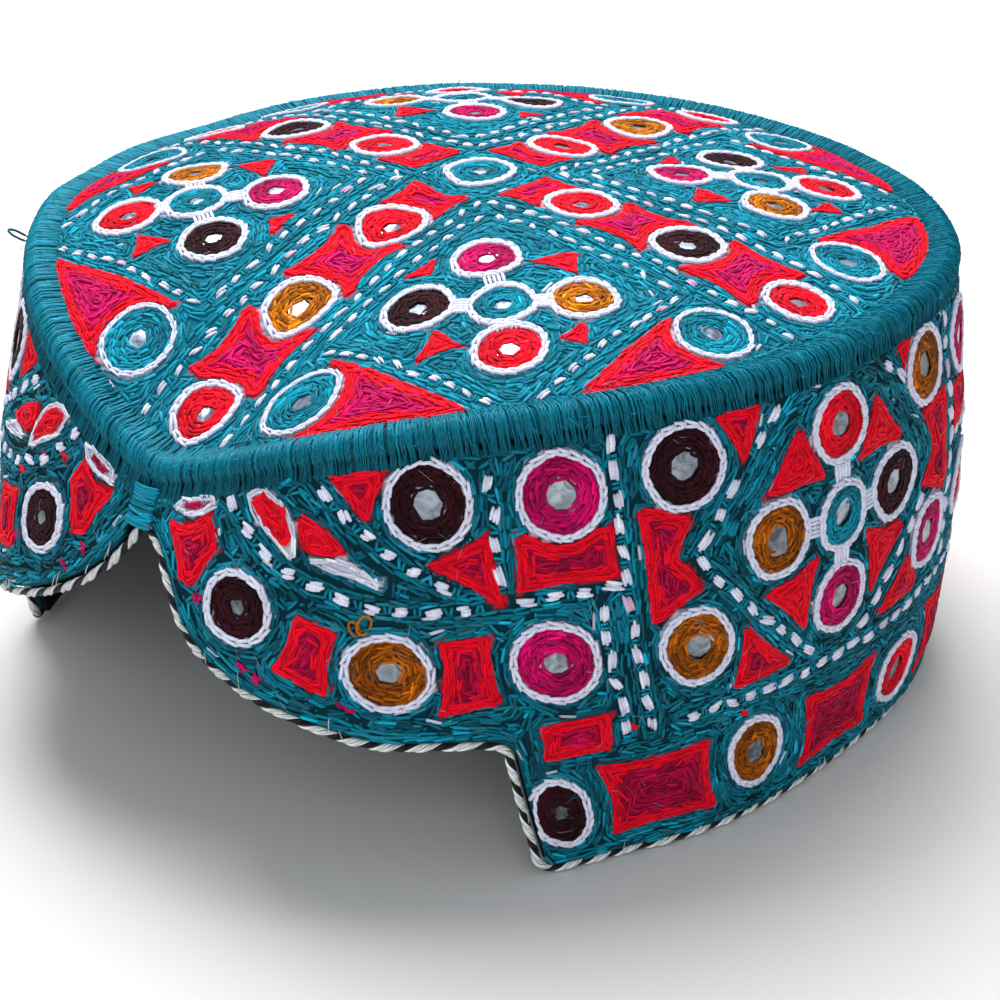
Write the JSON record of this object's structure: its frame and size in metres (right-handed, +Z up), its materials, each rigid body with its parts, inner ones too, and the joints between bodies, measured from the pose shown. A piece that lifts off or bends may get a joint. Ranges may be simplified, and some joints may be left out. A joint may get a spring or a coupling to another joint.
{
  "type": "sindhi cap",
  "caption": "Round cloth cap with a low domed crown, a stiff side band with an arched two-lobed front edge, a padded rim roll and a twisted edge cord.",
  "frame": {"origin": "middle of the cap's footprint, on the surface that its lower edge stands on", "axes": "+Z up, the arched front edge toward -Y"},
  "size_m": [0.1838, 0.1878, 0.0976],
  "materials": {
    "crown_cloth": "dense teal thread embroidery with small mirrors, in scarlet, crimson, dark brown, ochre and white",
    "roll_thread": "satin-stitched teal thread, slightly glossy",
    "band_cloth": "dense teal thread embroidery with small mirrors, in scarlet, crimson, dark brown, ochre and white",
    "lining": "plain black cotton",
    "cord": "silver-white thread twisted with black",
    "mirror": "small cut mirror glass"
  },
  "bodies": {
    "root": {"crown": "crown_cloth", "crown_roll": "roll_thread", "side_band": "band_cloth", "side_lining": "lining", "front_seam": "roll_thread", "edge_cord": "cord"}
  },
  "joints": []
}
